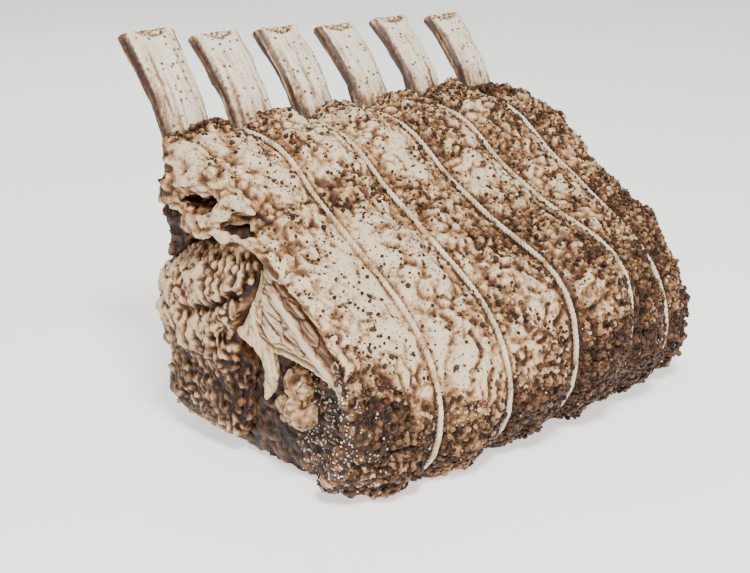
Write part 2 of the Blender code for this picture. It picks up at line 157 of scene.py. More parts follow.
def noise_at(points, size, seed=0):
    """Return smooth noise, from about -1 to 1, whose waves are of the given size."""
    shift = Vector((17.3, 9.1, 5.7)) * seed
    return np.array([noise.noise(Vector(p) + shift) for p in points / size])


def cells_at(points, size, seed=0):
    """Return the distances to the nearest and the second nearest of scattered seeds."""
    shift = Vector((3.9, 21.7, 8.3)) * seed
    found = [noise.voronoi(Vector(p) + shift)[0][:2] for p in points / size]
    found = np.array(found)
    return found[:, 0], found[:, 1]


def squeezed(points, direction, stretch):
    """Return the points drawn together along a direction, so that noise there runs as grain."""
    direction = np.array(direction) / np.linalg.norm(direction)
    along = points @ direction
    return points - np.outer(along * (1.0 - 1.0 / stretch), direction)


def from_line(points, line):
    """Return how far each point is from a line drawn on the carved end."""
    flat = points[:, 1:]
    nearest = np.full(len(points), 1000.0)
    for start, end in zip(line, line[1:]):
        start = np.array(start, float)
        run = np.array(end, float) - start
        share = np.clip(((flat - start) @ run) / (run @ run), 0.0, 1.0)
        gap = np.linalg.norm(flat - start - share[:, None] * run, axis=1)
        nearest = np.minimum(nearest, gap)
    return nearest


def node_centre_x(node):
    """Return the middle of a node along the rack."""
    low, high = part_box(node)
    return (low.x + high.x) / 2 / MM


RIB_XS = [node_centre_x("rib_%d" % (i + 1)) for i in range(RIB_COUNT)]
STRING_XS = [node_centre_x("string_%d" % (i + 1)) for i in range(STRING_COUNT)]
CARVED_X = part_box("rib_eye")[0].x / MM


def from_strings(points):
    """Return how far along the rack each point is from the nearest string."""
    return np.min([abs(points[:, 0] - x) for x in STRING_XS], axis=0)


def from_ribs(points):
    """Return how far along the rack each point is from the nearest rib."""
    return np.min([abs(points[:, 0] - x) for x in RIB_XS], axis=0)


# ============================================================
# Meshes
# ============================================================
def only(*pieces):
    """Select these pieces and nothing else."""
    bpy.ops.object.select_all(action="DESELECT")
    for piece in pieces:
        piece.select_set(True)
    bpy.context.view_layer.objects.active = pieces[0]


def modify(piece, kind, **settings):
    """Add a modifier and apply it."""
    only(piece)
    modifier = piece.modifiers.new(kind.lower(), kind)
    for key, value in settings.items():
        setattr(modifier, key, value)
    bpy.ops.object.modifier_apply(modifier=modifier.name)


def copy_of(node, name):
    """Return a copy of a CAD node whose loose triangles are merged."""
    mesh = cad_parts[node].data.copy()
    mesh.name = name
    mesh.materials.clear()
    shape = bmesh.new()
    shape.from_mesh(mesh)
    bmesh.ops.remove_doubles(shape, verts=shape.verts, dist=0.001 * MM)
    shape.to_mesh(mesh)
    shape.free()
    piece = bpy.data.objects.new(name, mesh)
    bpy.context.scene.collection.objects.link(piece)
    return piece


def voxels(piece, size):
    """Remake the mesh as an even skin."""
    modify(piece, "REMESH", mode="VOXEL", voxel_size=size * MM, use_smooth_shade=True)


def roll(line, x, thickest):
    """Return a rounded roll of fat along a line on the carved end, thin at both tips."""
    taper = [math.sin(math.pi * i / (len(line) - 1)) for i in range(len(line))]
    curve = bpy.data.curves.new("roll", "CURVE")
    curve.dimensions = "3D"
    curve.bevel_depth = 1.0 * MM
    curve.bevel_resolution = 3
    curve.use_fill_caps = True
    curve.resolution_u = 6
    spline = curve.splines.new("NURBS")
    spline.points.add(len(line) - 1)
    for point, (y, z), swell in zip(spline.points, line, taper):
        point.co = (x * MM, y * MM, z * MM, 1.0)
        point.radius = thickest * (0.4 + 0.6 * max(swell, 0.0) ** 0.6)
    spline.use_endpoint_u = True
    spline.order_u = 3
    piece = bpy.data.objects.new("roll", curve)
    bpy.context.scene.collection.objects.link(piece)
    only(piece)
    bpy.ops.object.convert(target="MESH")
    return bpy.context.view_layer.objects.active


def lobe(centre, radii):
    """Return a round lobe."""
    bpy.ops.object.select_all(action="DESELECT")
    bpy.ops.mesh.primitive_uv_sphere_add(segments=20, ring_count=12, radius=MM,
                                         location=[c * MM for c in centre], scale=radii)
    bpy.ops.object.transform_apply(location=True, rotation=True, scale=True)
    return bpy.context.view_layer.objects.active


def join(piece, extras):
    """Join further shapes to a piece."""
    only(piece, *extras)
    bpy.ops.object.join()


def arrays(mesh):
    """Return a mesh's points, in millimetres, and its normals."""
    count = len(mesh.vertices)
    points = np.empty(count * 3)
    normals = np.empty(count * 3)
    mesh.vertices.foreach_get("co", points)
    mesh.vertex_normals.foreach_get("vector", normals)
    return points.reshape(-1, 3) / MM, normals.reshape(-1, 3)


def move(mesh, points):
    """Put a mesh's vertices at the given points."""
    mesh.vertices.foreach_set("co", (points * MM).ravel())
    mesh.update()


def smoothed(mesh, values, rounds):
    """Return values spread over each vertex's neighbours, a number of times."""
    own_share = 0.4
    ends = np.empty(len(mesh.edges) * 2, int)
    mesh.edges.foreach_get("vertices", ends)
    a, b = ends.reshape(-1, 2).T
    count = len(values)
    links = np.maximum(np.bincount(a, minlength=count) + np.bincount(b, minlength=count), 1)
    for _ in range(rounds):
        total = np.bincount(a, values[b], count) + np.bincount(b, values[a], count)
        values = own_share * values + (1.0 - own_share) * total / links
    return values


def keep(mesh, name, values):
    """Store a value at each vertex, for the materials."""
    attribute = mesh.attributes.new(name, "FLOAT", "POINT")
    attribute.data.foreach_set("value", np.asarray(values, np.float32))


def neighbours_of(node):
    """Return the surfaces of everything that may lie against a node."""
    shape = bmesh.new()
    for other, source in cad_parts.items():
        lies_on_top = other == "fat_nugget" or other.startswith("string")
        if other != node and not lies_on_top:
            shape.from_mesh(source.data)
    tree = BVHTree.FromBMesh(shape)
    shape.free()
    return tree


def shown(mesh, tree):
    """Return 1 at each vertex that lies on the outside, and 0 where a neighbour covers it."""
    start_inside = 1.5
    reach = 7.0
    points, normals = arrays(mesh)
    result = np.ones(len(points))
    for i, (point, normal) in enumerate(zip(points, normals)):
        start = Vector((point - normal * start_inside) * MM)
        if tree.ray_cast(start, Vector(normal), reach * MM)[0] is not None:
            result[i] = 0.0
    return result


def refine(mesh, chosen):
    """Divide the faces whose vertices are all chosen."""
    shape = bmesh.new()
    shape.from_mesh(mesh)
    shape.verts.ensure_lookup_table()
    edges = set()
    for face in shape.faces:
        if all(chosen[vert.index] for vert in face.verts):
            edges.update(face.edges)
    bmesh.ops.subdivide_edges(shape, edges=list(edges), cuts=1, use_grid_fill=True)
    shape.to_mesh(mesh)
    shape.free()
    mesh.update()


def ride(piece, slot, *nodes):
    """Give a finished piece its place in the model."""
    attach(piece, "root")
    if nodes:
        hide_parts(*nodes)


# ============================================================
# The meat
# ============================================================
def press_end(points, depth):
    """Push the carved end in by a depth that may differ from place to place."""
    near_end = ramp(points[:, 0], CARVED_X + 34.0, CARVED_X + 16.0)
    points[:, 0] += depth * near_end


def round_lower_edge(points):
    """Round off the carved end where it meets the table, and let the lower seam wander."""
    tuck = 11.0
    x, y, z = points.T
    near_seam = bell(y - LOWER_SEAM_Y, 14.0) * ramp(z, 70.0, 50.0) * ramp(x, -100.0, -130.0)
    wander = 7.0 * noise_at(points * (0.4, 0.4, 1.0), 20.0, 11) + 9.0 * ramp(z, 40.0, 0.0)
    points[:, 1] += wander * near_seam
    press_end(points, tuck * ramp(points[:, 2], 34.0, -4.0) ** 2)


def press_fat(points):
    """Draw the flap's root back, and press the two hollows into the flap."""
    round_lower_edge(points)
    _, y, z = points.T
    press_end(points, FLAP_ROOT_DEPTH * ramp(y, 51.0, 59.0) * ramp(z, 146.0, 152.0))
    press_end(points, HOLLOW_DEPTH * bell(from_line(points, FLAP_HOLLOW), 5.5))
    press_end(points, SECOND_HOLE_DEPTH * bell(from_line(points, SECOND_HOLE), 6.0))


def press_eye(points):
    """Draw the underside of the eye back into the shadow."""
    recess = 9.0
    round_lower_edge(points)
    press_end(points, recess * ramp(points[:, 2], 76.0, 50.0))


def make_layer(node, name, relief, press=round_lower_edge, extras=()):
    """Turn a plain layer into a roasted one."""
    string_bed = (2.5, 10.0)
    least_relief = 0.25
    crevice_depth = 1.2
    piece = copy_of(node, name)
    voxels(piece, SKIN_CELLS[node])
    mesh = piece.data
    points, _ = arrays(mesh)
    press(points)
    move(mesh, points)
    if extras:
        join(piece, extras)
        voxels(piece, SKIN_CELLS[node])
        modify(piece, "SMOOTH", factor=0.5, iterations=3)
    mesh = piece.data

    tree = neighbours_of(node)
    outside = shown(mesh, tree)
    refine(mesh, smoothed(mesh, outside, 2) > 0.2)
    outside = smoothed(mesh, shown(mesh, tree), 4)
    outside = ramp(outside, 0.35, 1.0)

    points, normals = arrays(mesh)
    # The relief gives the height and how dark the colour is: roasted browning, with painted shade and
    # light in places.
    height, browning = relief(points, normals)
    if node in FAR_END_BROWNING:
        far = ramp(points[:, 0], *FAR_END_RANGE)
        far_browning = FAR_END_BROWNING[node] + 0.3 * noise_at(points, 14.0, 12)
        browning = browning * (1.0 - far) + far * far_browning
    ease = least_relief + (1.0 - least_relief) * ramp(from_strings(points), *string_bed)
    height = height * outside * ease
    grown = points + normals * height[:, None]
    grown[:, 2] = np.maximum(grown[:, 2], 0.0)
    move(mesh, grown)
    keep(mesh, "browning", np.clip(browning, 0.0, 1.0))
    # Painted shade: crevices are darkened and ridges paled, by how far each point lies below its
    # smoothed neighbours.
    crevice = (smoothed(mesh, height, 12) - height) / crevice_depth
    keep(mesh, "crevice", np.clip(crevice, -0.5, 1.0))
    keep(mesh, "outside", outside)
    mesh.shade_smooth()
    return piece


def fat_browning_and_shade(points):
    """Return how dark the fat is: along its trough, roasted darker at the far end, and painted shade low
    down.
    """
    x, y, z = points.T
    patches = noise_at(points, 30.0, 21) + 0.6 * noise_at(points, 13.0, 22)
    trough = bell(z - trough_height(x), 12.0) * ramp(x, -112.0, -90.0) * ramp(x, 100.0, 60.0)
    trough *= ramp(y, 40.0, 10.0)
    far_end = ramp(x + 0.25 * (z - 90.0), 96.0, 132.0)
    # Painted shade: the low front, and the low corner by the carved end, are darkened where the roast
    # turns under.
    low = ramp(z, 72.0, 26.0) * ramp(y, 40.0, 0.0)
    low_corner = ramp(z, 92.0, 62.0) * ramp(x, -108.0, -138.0) * ramp(y, -60.0, -80.0)
    low = np.maximum(low, low_corner)
    shoulder = bell(x - 74.0, 30.0) * bell(z - 88.0, 26.0) * ramp(y, -40.0, -70.0)
    # Painted shade on the underside of the front's bulge.
    underside = bell(x - 28.0, 40.0) * bell(z - 62.0, 17.0) * ramp(y, -40.0, -70.0)
    middle = ramp(x, -80.0, -38.0) * ramp(z, 140.0, 118.0)
    middle_spot = bell(x + 36.0, 20.0) * bell(z - 108.0, 20.0)
    far_half = ramp(x, -30.0, 30.0)
    crest = ramp(y, 38.0, 58.0)
    far_crest = bell(x - 92.0, 24.0) * ramp(z, 128.0, 150.0)
    upper_part = ramp(z, 138.0, 158.0)
    # Painted shadow: dark lines along both sides of each string.
    shade_beside_strings = bell(from_strings(points) - 2.4, 1.5)
    flap_root = ramp(y, 44.0, 53.0) * ramp(x, -118.0, -134.0) * ramp(z, 158.0, 166.0)
    # Painted light: a paler patch on the left of the front, where the light falls most.
    pale = bell(x + 105.0, 36.0) * bell(z - 116.0, 36.0)

    dark = 0.2 + 0.34 * patches + 0.2 * trough
    dark += 0.22 * far_end + 0.12 * far_half + 0.16 * far_crest
    dark += 0.74 * low + 0.26 * shoulder + 0.4 * underside
    dark += 0.2 * middle + 0.16 * middle_spot
    dark += 0.25 * crest + 0.1 * upper_part + 0.6 * flap_root
    dark += 0.55 * shade_beside_strings - 0.16 * pale
    return np.clip(dark, 0.0, 1.0)


def trough_height(x):
    """Return the height of the shallow trough that runs along the fat, above its shoulder."""
    return 148.0 - 0.32 * (x + 82.0)


def fat_relief(points, normals):
    """Return the lumps of the fat cap, and how brown it is."""
    swell = 2.4
    x, _, z = points.T
    brown = fat_browning_and_shade(points)
    lobes = np.abs(noise_at(points, 18.0, 2))
    ripples = np.abs(noise_at(points, 7.5, 3))
    wrinkles = np.abs(noise_at(points, 4.2, 9))
    flap = ramp(x, -112.0, -140.0) * ramp(z, 128.0, 140.0)
    rough = (0.4 + 0.6 * ramp(brown, 0.12, 0.4)) * (1.0 - 0.55 * flap)
    height = 2.2 * noise_at(points, 42.0, 1) + 6.0 * (lobes - 0.2)
    height += rough * (4.2 * (ripples - 0.2) + 1.8 * (wrinkles - 0.2))
    height += 0.55 * noise_at(points, 2.6, 4)
    height += swell * ramp(from_strings(points), 4.0, 22.0) * ramp(x, -148.0, -122.0)
    near, _ = cells_at(points, 5.0, 5)
    blisters = np.sqrt(np.clip(1.0 - near / 0.75, 0.0, 1.0))
    height += 2.1 * blisters * ramp(brown, 0.3, 0.75)
    height -= 2.6 * bell(z - trough_height(x), 11.0) * ramp(x, -112.0, -90.0) * ramp(x, 100.0, 70.0)

    folds = np.abs(noise_at(points * (1.0, 0.55, 1.2), 17.0, 6))
    creases = np.abs(noise_at(points * (1.0, 0.6, 1.5), 7.0, 10))
    height += flap * (6.0 * (folds - 0.2) + 3.0 * (creases - 0.2))

    cut = ramp(-normals[:, 0], 0.45, 0.8) * ramp(x, -146.0, -152.0) * ramp(z, 140.0, 131.0)
    grain = noise_at(squeezed(points, STRIP_GRAIN, 9.0), 2.2, 7)
    fibres = 0.9 * grain + 1.2 * noise_at(squeezed(points, STRIP_GRAIN, 4.0), 6.0, 8)
    height = height * (1.0 - cut) + fibres * cut
    brown = brown * (1.0 - cut) + (0.62 - 0.4 * grain) * cut
    hollow = bell(from_line(points, FLAP_HOLLOW), 5.0) + bell(from_line(points, SECOND_HOLE), 5.0)
    inside_flap = ramp(x, -140.0, -148.0) * ramp(x, -163.0, -158.0)
    # Painted shade: the hollows inside the flap are darkened.
    brown += 0.55 * np.clip(hollow, 0.0, 1.0) * inside_flap
    brown += 0.05 * flap * (1.0 - hollow)
    return height, brown


def eye_relief(points, normals):
    """Return the crackled ridges of the eye, and how brown it is."""
    x, y, z = points.T
    end = ramp(-normals[:, 0], 0.2, 0.55) * ramp(x, -140.0, -150.0)
    waved = points.copy()
    waved[:, 1] += 3.5 * noise_at(points, 18.0, 31)
    waved[:, 2] += 3.5 * noise_at(points, 18.0, 32)
    waved *= (0.6, 1.0, 0.66)
    columns = np.abs(noise_at(waved * (1.0, 1.0, 0.42), 5.4, 34))
    lumps = np.abs(noise_at(waved, 3.9, 33))
    near, second = cells_at(waved, 4.4, 40)
    crackle = 6.4 * (columns - 0.2) + 4.4 * (lumps - 0.2) + 1.3 * (ramp(second - near, 0.0, 0.3) - 0.6)
    crackle += 2.4 * noise_at(points, 26.0, 35) + 0.6 * noise_at(points, 2.0, 36)
    crease = bell(from_line(points, EYE_MAIN_CREASE), 3.4)
    crease += 0.9 * bell(from_line(points, EYE_LOWER_CREASE), 4.0)
    crackle -= 4.5 * crease
    under = ramp(z, 76.0, 60.0)
    rough = 1.6 * noise_at(points, 9.0, 37) + 0.8 * noise_at(points, 3.6, 38)
    height = crackle * end + rough * (1.0 - end)
    # Painted shade: the creases are darkened, and the underside of the carved end partly as shade and
    # partly as dark crust.
    brown = 0.3 + 0.3 * noise_at(points, 16.0, 39) + 0.35 * crease + 0.5 * under * end
    # The last term is painted shade: the carved end is darkened towards -Y.
    brown += (0.3 + 0.16 * ramp(z, 70.0, 104.0)) * (1.0 - end) + 0.2 * ramp(y, 25.0, -15.0) * end
    # Painted highlight: the raised lumps of the carved end are paler.
    brown -= 0.9 * (lumps - 0.2) * end
    return height, brown


def cap_relief(points, normals):
    """Return the marbled cells and the light seam of the cap muscle, and how brown it is."""
    seam = bell(from_line(points, LIGHT_SEAM), 3.0)
    grain = squeezed(points, STRIP_GRAIN, 2.4)
    near, second = cells_at(grain, 6.5, 41)
    septum = 1.0 - ramp(second - near, 0.0, 0.12)
    fine = noise_at(squeezed(points, STRIP_GRAIN, 8.0), 1.9, 42)
    height = 2.2 * seam - 1.0 * septum * (1.0 - seam) + 0.7 * fine
    height += 1.6 * noise_at(points, 12.0, 43)
    brown = 0.26 + 0.22 * noise_at(points, 11.0, 44) - 0.3 * fine
    brown += 0.32 * septum + 0.36 * beyond_seam(points)
    return height, brown * (1.0 - seam) - 0.1 * seam


def beyond_seam(points):
    """Return 1 on the outer side of the light seam, where the meat has roasted darker."""
    _, y, z = points.T
    seam_ys, seam_zs = zip(*reversed(LIGHT_SEAM))
    seam_z = np.interp(y, seam_ys, seam_zs)
    return ramp(z - seam_z, 0.0, 5.0) * ramp(y, -30.0, -38.0)


def seam_relief(points, normals):
    """Return the soft lumps of the seam fat, and how brown it is."""
    fibres = noise_at(squeezed(points, (0.0, 0.25, 1.0), 6.0), 1.9, 54)
    height = 1.6 * (np.abs(noise_at(points, 7.0, 51)) - 0.2) + 0.4 * noise_at(points, 2.6, 52)
    brown = 0.2 + 0.3 * noise_at(points, 9.0, 53) - 0.36 * fibres
    return height + 0.6 * fibres, brown


def nugget_relief(points, normals):
    """Return the facets of the fat nugget, and how brown it is."""
    folds = np.abs(noise_at(points, 9.0, 56))
    swirled = points + 2.4 * noise_at(points, 6.0, 60)[:, None]
    near, second = cells_at(swirled * (1.0, 1.0, 0.7), 9.0, 59)
    split = (1.0 - ramp(second - near, 0.0, 0.16)) * ramp(noise_at(points, 7.0, 55), -0.3, 0.3)
    height = 3.4 * (folds - 0.2) + 0.8 * noise_at(points, 2.6, 57) - 1.1 * split
    pit = bell(np.linalg.norm(points[:, 1:] - NUGGET_PIT, axis=1), 2.6)
    # Painted shade: the pit is darkened as well as pressed in.
    brown = 0.5 + 0.45 * noise_at(points, 8.0, 58) + 0.7 * pit + 0.35 * split
    return height - 2.4 * pit, brown - 0.25 * noise_at(points, 2.6, 57)


def lean_relief(points, normals):
    """Return the broken surface of roasted lean, and how brown it is."""
    lumps = np.abs(noise_at(points, 11.0, 61))
    wrinkles = np.abs(noise_at(points, 5.0, 65))
    height = 5.0 * (lumps - 0.2) + 1.2 * noise_at(points, 4.4, 62) + 0.6 * noise_at(points, 2.2, 63)
    height += 3.2 * (wrinkles - 0.2)
    brown = 0.7 + 0.35 * noise_at(points, 16.0, 64) - 0.24 * bell(points[:, 2] - 106.0, 18.0)
    return height, brown


# Each piece of the meat: its key, its material slot and the node that it replaces.
MEAT_PLACES = (
    ("fat", "fat_crust", "fat_cap"),
    ("eye", "eye_meat", "rib_eye"),
    ("cap", "cap_meat", "cap_muscle"),
    ("seam", "seam_fat", "seam_fat"),
    ("nugget", "seam_fat", "fat_nugget"),
    ("back", "browned_lean", "back_lean"),
    ("lower", "browned_lean", "lower_lean"),
)


def make_meat():
    """Make every layer of the meat and the fat."""
    flap = [roll(*shape) for shape in FLAP_ROLLS] + [lobe(*shape) for shape in FLAP_LOBES]
    strand_parts = [roll(*FAT_STRAND_ROLL), lobe(*FAT_STRAND_LOBE)]
    pieces = {
        "fat": make_layer("fat_cap", "roasted_fat_cap", fat_relief, press_fat, flap),
        "eye": make_layer("rib_eye", "roasted_eye", eye_relief, press_eye),
        "cap": make_layer("cap_muscle", "roasted_cap_muscle", cap_relief),
        "seam": make_layer("seam_fat", "rendered_seam_fat", seam_relief, extras=strand_parts),
        "nugget": make_layer("fat_nugget", "rendered_fat_nugget", nugget_relief),
        "back": make_layer("back_lean", "roasted_back_lean", lean_relief),
        "lower": make_layer("lower_lean", "roasted_lower_lean", lean_relief),
    }
    for key, slot, node in MEAT_PLACES:
        ride(pieces[key], slot, node)
    return pieces


# ============================================================
# The bones
# ============================================================
def make_rib(index):
    """Make one scraped rib, with ridges along it and a porous core at its sawn tip."""
    node = "rib_%d" % (index + 1)
    piece = copy_of(node, "scraped_" + node)
    voxels(piece, RIB_SKIN_CELLS)
    mesh = piece.data
    points, normals = arrays(mesh)
    top = points[:, 2].max()
    tip = points[points[:, 2] > top - 12.0].mean(axis=0)
    x, y, z = points.T

    from_middle_x = x - np.polyval(np.polyfit(z, x, 3), z)
    from_middle_y = y - np.polyval(np.polyfit(z, y, 5), z)
    grain = np.column_stack([from_middle_x, from_middle_y, z / 16.0])
    ridges = noise_at(grain, 2.3, 71 + index)
    side = ramp(np.abs(normals[:, 0]), 0.45, 0.85)
    height = (0.35 + 0.55 * side) * ridges + 0.9 * noise_at(points, 15.0, 81 + index)
    height += 0.2 * noise_at(points, 1.9, 91)
    sawn = ramp(normals[:, 2], 0.45, 0.75) * ramp(z, top - 16.0, top - 10.0)
    core = sawn * ramp(np.linalg.norm((points - tip)[:, :2] * (0.62, 1.4), axis=1), 8.6, 5.4)
    pores = noise_at(points, 1.7, 95)
    height = height * (1.0 - sawn) - core * (1.6 + 1.1 * pores)
    height += 0.7 * ramp(z, top - 9.0, top - 3.0) * (1.0 - sawn)
    move(mesh, points + normals * height[:, None])

    rim = ramp(z, top - 20.0, top - 3.0) * (0.6 + 0.5 * noise_at(points, 5.0, 96))
    foot = ramp(z, 196.0, 172.0) * (0.5 + 0.8 * noise_at(points, 7.0, 97))
    stains = ramp(noise_at(grain, 9.0, 98 + index), 0.1, 0.5)
    shaded_edge = ramp(-from_middle_x, 5.0, 13.0) * (1.0 - sawn)
    # The narrow sides are darker, partly as roasted brown and partly as painted shade; shaded_edge is
    # painted shade along the -X edge.
    browning = 0.14 + 0.42 * side + 0.4 * rim * (1.0 - sawn) + 0.6 * foot + 0.16 * stains
    browning += 0.3 * shaded_edge * (0.8 + noise_at(grain, 4.0, 99))
    browning += 0.24 * ramp(-normals[:, 0], 0.4, 0.8) + 0.34 * core - 0.04 * sawn
    browning -= 0.4 * ridges * (0.5 + side)
    keep(mesh, "browning", np.clip(browning, 0.0, 1.0))
    # Painted shade: crevices darker and ridges paler, by how far each point lies below its smoothed
    # neighbours.
    keep(mesh, "crevice", np.clip((smoothed(mesh, height, 8) - height) / 0.6, -1.0, 1.0))
    mesh.shade_smooth()
    ride(piece, "bone", node)
    return piece


# ============================================================
# The twine
# ============================================================
STRAND_RADIUS = 0.95
STRAND_OFFSET = 0.86
STRAND_COUNT = 3
TWIST_LENGTH = 9.5
POINTS_PER_TWIST = 9
KNOT_HEIGHT = 62.0
KNOT_POINTS = 44
KNOT_WIDTH = 1.35
KNOT_RISE = 1.15
TAIL_POINTS = 12
TAIL_LENGTH = 15.0


def string_route(node):
    """Return the loop that a string follows, as evenly spaced (y, z)."""
    co = np.array([v.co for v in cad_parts[node].data.vertices]) / MM
    middle = (co[:, 0].min() + co[:, 0].max()) / 2
    outermost = co[:, 0] > middle + 0.9 * (co[:, 0].max() - middle)
    centres = np.unique(np.round(co[outermost][:, 1:], 3), axis=0)
    hub = centres.mean(axis=0)
    turn = np.arctan2(centres[:, 1] - hub[1], centres[:, 0] - hub[0])
    loop = centres[np.argsort(turn)]
    loop = np.vstack([loop, loop[:1]])
    gaps = np.linalg.norm(np.diff(loop, axis=0), axis=1)
    reached = np.concatenate([[0.0], np.cumsum(gaps)])
    twists = round(reached[-1] / TWIST_LENGTH)
    count = twists * POINTS_PER_TWIST
    wanted = np.linspace(0.0, reached[-1], count, endpoint=False)
    route = np.column_stack([np.interp(wanted, reached, loop[:, k]) for k in (0, 1)])
    for _ in range(6):
        route = 0.5 * route + 0.25 * (np.roll(route, 1, axis=0) + np.roll(route, -1, axis=0))
    return middle, route, twists


def strand(points, cyclic):
    """Return one thin round strand along the given points."""
    curve = bpy.data.curves.new("strand", "CURVE")
    curve.dimensions = "3D"
    curve.bevel_depth = STRAND_RADIUS * MM
    curve.bevel_resolution = 1
    curve.use_fill_caps = not cyclic
    spline = curve.splines.new("POLY")
    spline.points.add(len(points) - 1)
    for point, place in zip(spline.points, points):
        point.co = (*(Vector(place) * MM), 1.0)
    spline.use_cyclic_u = cyclic
    piece = bpy.data.objects.new("strand", curve)
    bpy.context.scene.collection.objects.link(piece)
    only(piece)
    bpy.ops.object.convert(target="MESH")
    return bpy.context.view_layer.objects.active


def make_string(index):
    """Twist one loop of twine from three strands."""
    node = "string_%d" % (index + 1)
    x, route, twists = string_route(node)
    run = np.roll(route, -1, axis=0) - np.roll(route, 1, axis=0)
    run /= np.linalg.norm(run, axis=1)[:, None]
    outward = np.column_stack([run[:, 1], -run[:, 0]])
    phase = np.arange(len(route)) * 2 * math.pi / POINTS_PER_TWIST
    strands = []
    for k in range(STRAND_COUNT):
        turn = phase + 2 * math.pi * k / STRAND_COUNT
        sway = x + STRAND_OFFSET * np.cos(turn)
        lift = route + outward * (STRAND_OFFSET * np.sin(turn))[:, None]
        strands.append(strand(np.column_stack([sway, lift]), True))
    strands += make_knot(x, route)
    piece = strands[0]
    join(piece, strands[1:])
    piece.name = "twisted_" + node
    piece.data.name = piece.name
    only(piece)
    bpy.ops.object.mode_set(mode="EDIT")
    bpy.ops.mesh.select_all(action="SELECT")
    bpy.ops.mesh.normals_make_consistent(inside=False)
    bpy.ops.object.mode_set(mode="OBJECT")
    piece.data.shade_smooth()
    ride(piece, "twine", node)
    return piece


def make_knot(x, route):
    """Tie a small knot, with two short ends, low on the bone side."""
    low = np.argmin(np.linalg.norm(route - (route[:, 0].max(), KNOT_HEIGHT), axis=1))
    y, z = route[low]
    knot = []
    for k in range(KNOT_POINTS):
        t = 2 * math.pi * k / KNOT_POINTS
        wide = math.sin(t) + 2 * math.sin(2 * t)
        tall = math.cos(t) - 2 * math.cos(2 * t)
        knot.append((x + KNOT_WIDTH * wide, y + 1.6 - 1.1 * math.sin(3 * t), z + KNOT_RISE * tall))
    ends = []
    for way in (-1.0, 1.0):
        tail = []
        for k in range(TAIL_POINTS):
            share = k / (TAIL_POINTS - 1)
            bend = 1.25 * math.sin(2.6 * share + way)
            tail.append((x + way * (2.0 + 7.0 * share), y + 2.2 + share, z - TAIL_LENGTH * share + bend))
        ends.append(strand(tail, False))
    return [strand(knot, True)] + ends


# ============================================================
# Pepper, crust and salt
# ============================================================
def small_shape(seed, segments, rings, dents):
    """Return the points and faces of one grain, of radius 1, that the scattered ones are copied from."""
    bpy.ops.object.select_all(action="DESELECT")
    bpy.ops.mesh.primitive_uv_sphere_add(segments=segments, ring_count=rings, radius=1.0)
    piece = bpy.context.view_layer.objects.active
    points = arrays(piece.data)[0] * MM
    dent = noise_at(points, 0.8, seed)
    points = points * (1.0 + dents * dent)[:, None]
    faces = [tuple(face.vertices) for face in piece.data.polygons]
    bpy.data.objects.remove(piece, do_unlink=True)
    return points, faces


def surface_of(pieces):
    """Return the middles, normals, areas and the browning and painted shade of the outer triangles of
    some pieces.
    """
    middles, normals, areas, brown = [], [], [], []
    for piece in pieces:
        mesh = piece.data
        mesh.calc_loop_triangles()
        count = len(mesh.loop_triangles)
        corners = np.empty(count * 3, int)
        area = np.empty(count)
        mesh.loop_triangles.foreach_get("vertices", corners)
        mesh.loop_triangles.foreach_get("area", area)
        corners = corners.reshape(-1, 3)
        points, point_normals = arrays(mesh)
        value = np.empty(len(points))
        cover = np.empty(len(points))
        mesh.attributes["browning"].data.foreach_get("value", value)
        mesh.attributes["outside"].data.foreach_get("value", cover)
        open_face = cover[corners].min(axis=1) > 0.6
        middles.append(points[corners].mean(axis=1)[open_face])
        normals.append(point_normals[corners].mean(axis=1)[open_face])
        areas.append(area[open_face] / MM ** 2)
        brown.append(value[corners].mean(axis=1)[open_face])
    return (np.concatenate(middles), np.concatenate(normals), np.concatenate(areas),
            np.concatenate(brown))


def scatter(name, shapes, surface, weights, count, sizes, sink, flatness, seed):
    """Strew grains over a surface, as one mesh."""
    random = np.random.default_rng(seed)
    middles, normals, areas, brown = surface
    chance = areas * weights
    chosen = random.choice(len(middles), count, p=chance / chance.sum())
    # The grains follow the skin's darkness, roasted or painted shade: on dark skin they are kept darker.
    light_share = 1.0 - 0.55 * ramp(brown, 0.62, 1.0)
    all_points, all_faces, tones = [], [], []
    start = 0
    for place in chosen:
        points, faces = shapes[random.integers(len(shapes))]
        size = sizes[0] + (sizes[1] - sizes[0]) * random.random() ** 2
        stretch = 1.0 + 0.35 * (random.random(3) - 0.5)
        spin = Matrix.Rotation(random.random() * 2 * math.pi, 3, "Z")
        tilt = Vector(normals[place]).to_track_quat("Z", "Y").to_matrix()
        turn = np.array(tilt @ spin)
        shape = points * stretch * (1.0, 1.0, flatness) * size
        height = size * flatness * (1.0 - 2.0 * sink)
        centre = middles[place] + normals[place] * height + (random.random(3) - 0.5) * 0.8
        all_points.append(shape @ turn.T + centre)
        all_faces += [tuple(start + k for k in face) for face in faces]
        tones.append(np.full(len(points), random.random() * light_share[place]))
        start += len(points)
    mesh = bpy.data.meshes.new(name)
    mesh.from_pydata((np.concatenate(all_points) * MM).tolist(), [], all_faces)
    keep(mesh, "tone", np.concatenate(tones))
    mesh.shade_smooth()
    piece = bpy.data.objects.new(name, mesh)
    bpy.context.scene.collection.objects.link(piece)
    return piece


def strew(name, shapes, surface, weights):
    """Scatter one kind of grain, as many and as large as its row above says."""
    return scatter(name, shapes, surface, weights, **GRAINS[name])


